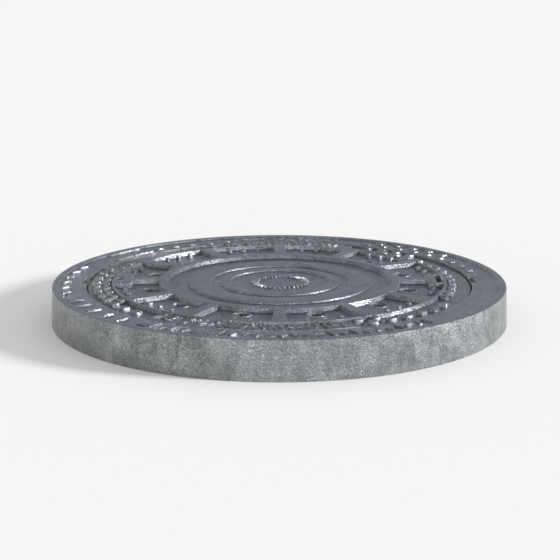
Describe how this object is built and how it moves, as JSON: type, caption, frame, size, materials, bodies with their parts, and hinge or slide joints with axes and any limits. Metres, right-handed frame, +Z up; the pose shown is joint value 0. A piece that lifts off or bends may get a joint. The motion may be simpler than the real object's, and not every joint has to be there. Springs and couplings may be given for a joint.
{
  "type": "manhole cover",
  "caption": "Round ventilated cast-iron manhole cover: a lift-out lid with spokes and vent holes in a ring frame, with swing latches beneath.",
  "frame": {"origin": "centre of the frame's base, on the surface it stands on", "axes": "+Z up, the way the lid lifts; +X from the centre to the key slot; -Y towards the viewer"},
  "size_m": [0.8056, 0.8056, 0.065],
  "materials": {
    "frame_iron": "bare rough casting, lightly oxidised, polished on raised edges",
    "lid_iron": "bare rough casting, blue-grey, polished on raised edges",
    "seat_rubber": "matt moulded elastomer",
    "latch_steel": "galvanised",
    "fastener_steel": "stainless, machined"
  },
  "bodies": {
    "frame_ring": {"frame": "frame_iron", "seat_cushion": "seat_rubber"},
    "lid_set": {"lid": "lid_iron", "latch_bush_right": "fastener_steel", "latch_bush_left": "fastener_steel", "latch_washer_right": "fastener_steel", "latch_washer_left": "fastener_steel", "latch_bolt_right": "fastener_steel", "latch_bolt_left": "fastener_steel"},
    "right_latch": {"latch_right": "latch_steel"},
    "left_latch": {"latch_left": "latch_steel"}
  },
  "joints": [
    {"name": "lid_lift", "type": "slide", "parent": "frame_ring", "child": "lid_set", "axis": [0, 0, 1], "range_m": [0, 0.15]},
    {"name": "latch_right_turn", "type": "hinge", "parent": "lid_set", "child": "right_latch", "pos_m": [0.27, 0.044, 0.01425], "axis": [0, 0, 1], "range_deg": [0, 90]},
    {"name": "latch_left_turn", "type": "hinge", "parent": "lid_set", "child": "left_latch", "pos_m": [-0.27, -0.044, 0.01425], "axis": [0, 0, 1], "range_deg": [0, 90]}
  ]
}
